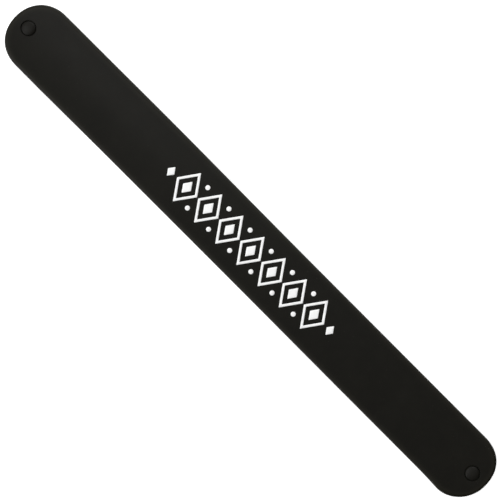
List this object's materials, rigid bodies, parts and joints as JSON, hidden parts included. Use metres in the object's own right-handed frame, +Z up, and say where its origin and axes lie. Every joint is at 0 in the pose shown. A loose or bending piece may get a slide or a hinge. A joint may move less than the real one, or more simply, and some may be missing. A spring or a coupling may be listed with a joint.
{
  "type": "slap bracelet",
  "caption": "Slap bracelet laid out straight: a round-ended silicone sleeve with a shallow trough along its face, over a sealed spring, with domed end buttons and a printed row of lozenges",
  "frame": {"origin": "middle of the underside, on the strip that the band rests on", "axes": "+X along the band, left to right in the reading direction of its print; +Y across the band; +Z up out of the printed face"},
  "size_m": [0.24, 0.0252, 0.0042],
  "materials": {
    "silicone": "matte",
    "spring_steel": "satin",
    "ink": "matte"
  },
  "bodies": {
    "root": {"sleeve": "silicone", "spring_tape": "spring_steel", "end_button_left": "silicone", "end_button_right": "silicone", "printed_motif": "ink"}
  },
  "joints": []
}
